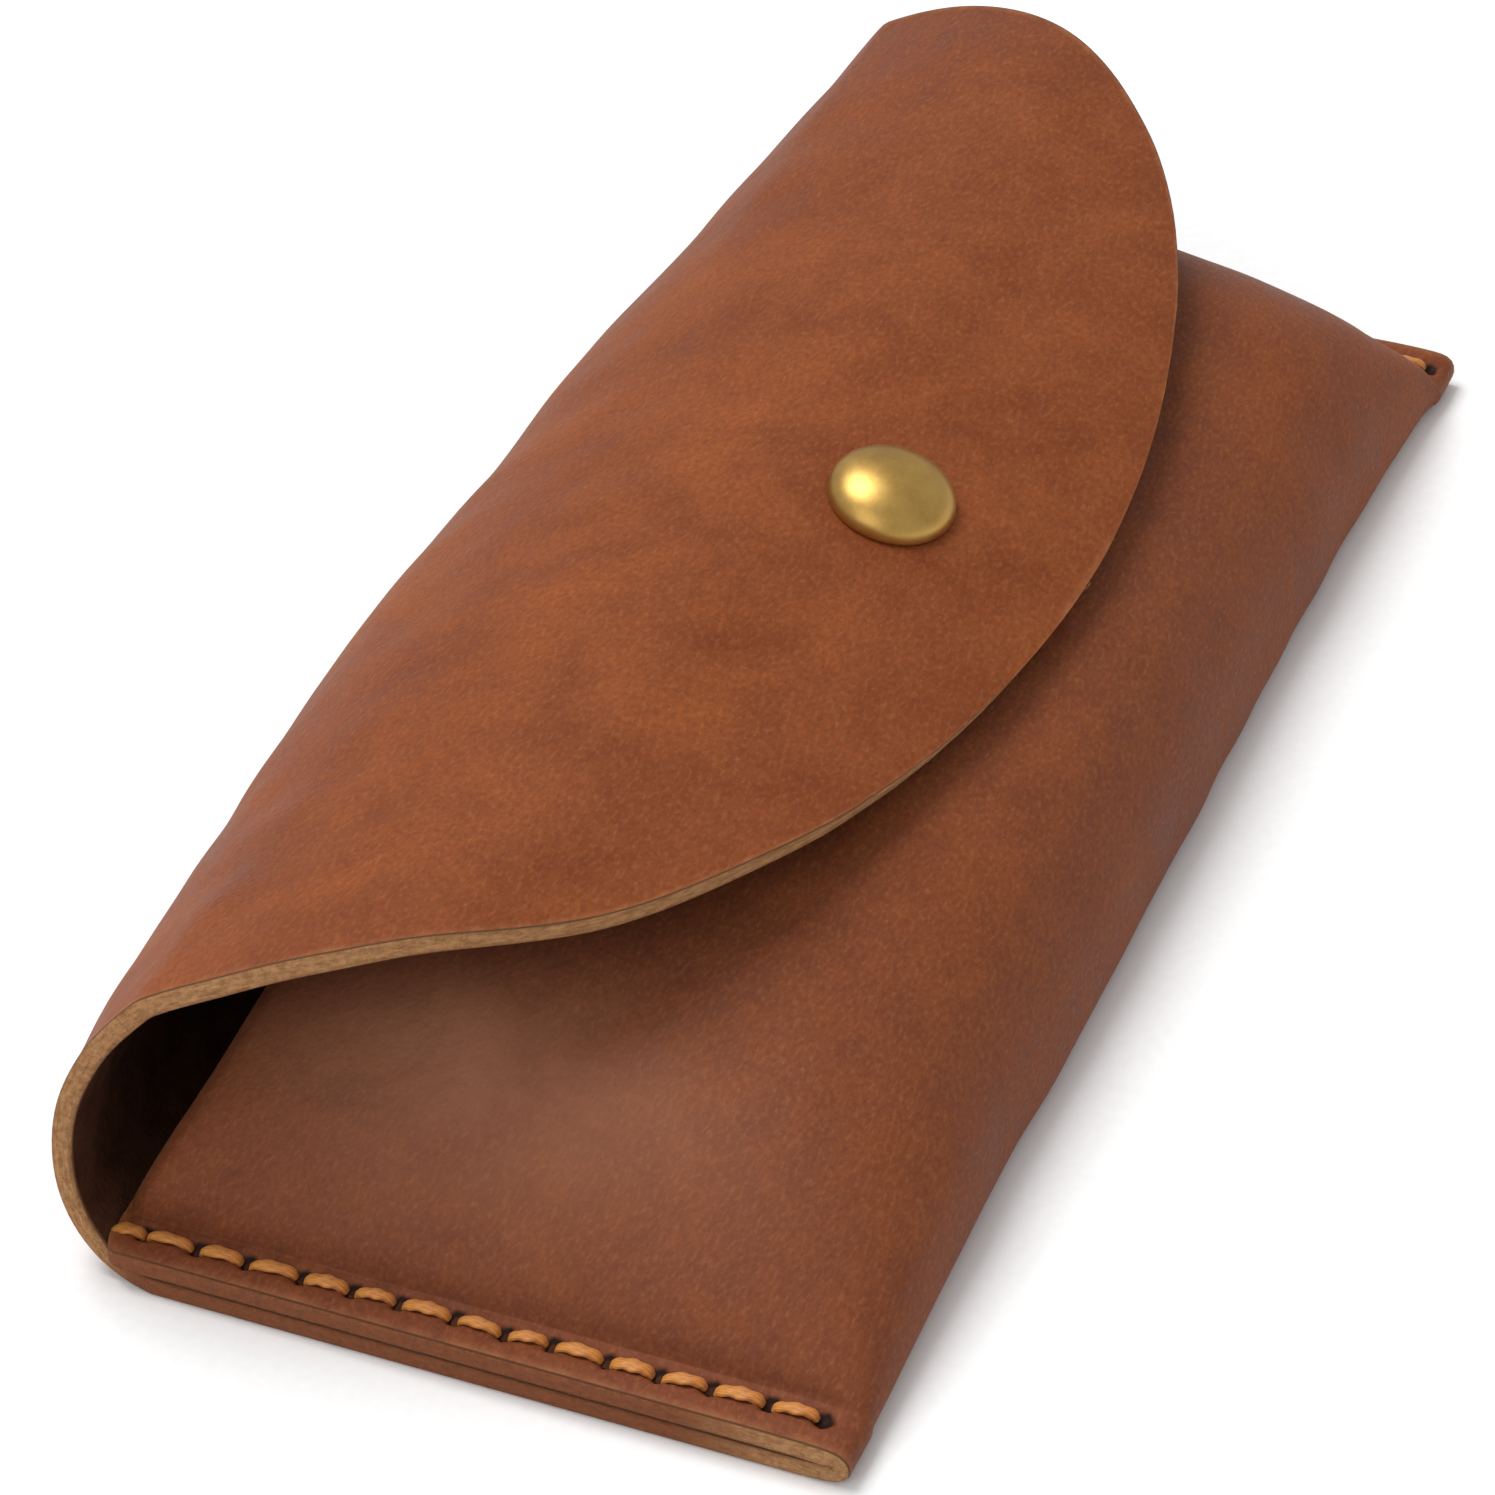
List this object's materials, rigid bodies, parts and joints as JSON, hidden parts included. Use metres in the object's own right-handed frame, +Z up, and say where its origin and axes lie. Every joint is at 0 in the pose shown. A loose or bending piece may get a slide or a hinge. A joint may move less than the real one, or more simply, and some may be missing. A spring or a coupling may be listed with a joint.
{
  "type": "eyeglasses case",
  "caption": "Soft leather eyeglasses case lying on its back: a stitched pocket with a rolled flap that closes with a press snap.",
  "frame": {"origin": "under the middle of the case, at the bottom of its bounding box", "axes": "+X along the case towards the far end, +Y from the fold at the pocket's bottom towards the rolled flap, +Z up from the back panel to the flap"},
  "size_m": [0.17, 0.083, 0.0354],
  "materials": {
    "leather": "matte",
    "thread": "satin",
    "antique_brass": "satin",
    "spring_wire": "satin"
  },
  "bodies": {
    "pocket": {"pocket_leather": "leather", "near_seam_thread_a": "thread", "near_seam_thread_b": "thread", "far_seam_thread_a": "thread", "far_seam_thread_b": "thread", "snap_stud": "antique_brass", "stud_post": "antique_brass"},
    "roll_1": {"roll_strip_1": "leather"},
    "roll_2": {"roll_strip_2": "leather"},
    "roll_3": {"roll_strip_3": "leather"},
    "roll_4": {"roll_strip_4": "leather"},
    "flap": {"flap_leather": "leather", "snap_cap": "antique_brass", "snap_socket": "antique_brass", "socket_spring": "spring_wire"}
  },
  "joints": [
    {"name": "flap_opening", "type": "hinge", "parent": "pocket", "child": "roll_1", "pos_m": [0, 0.03803, 0.00341], "axis": [-1, 0, 0], "range_deg": [0, 30]},
    {"name": "roll_bend_2", "type": "hinge", "parent": "roll_1", "child": "roll_2", "pos_m": [0, 0.04106, 0.0079], "axis": [-1, 0, 0], "range_deg": [0, 30]},
    {"name": "roll_bend_3", "type": "hinge", "parent": "roll_2", "child": "roll_3", "pos_m": [0, 0.0412, 0.01284], "axis": [-1, 0, 0], "range_deg": [0, 30]},
    {"name": "roll_bend_4", "type": "hinge", "parent": "roll_3", "child": "roll_4", "pos_m": [0, 0.03815, 0.01908], "axis": [-1, 0, 0], "range_deg": [0, 30]},
    {"name": "roll_bend_5", "type": "hinge", "parent": "roll_4", "child": "flap", "pos_m": [0, 0.03159, 0.0252], "axis": [-1, 0, 0], "range_deg": [0, 30], "deforming": ["socket_spring"]}
  ],
  "couplings": [
    {"joint": "roll_bend_2", "follows": "flap_opening", "ratio": 1},
    {"joint": "roll_bend_3", "follows": "flap_opening", "ratio": 1},
    {"joint": "roll_bend_4", "follows": "flap_opening", "ratio": 1},
    {"joint": "roll_bend_5", "follows": "flap_opening", "ratio": 1}
  ]
}
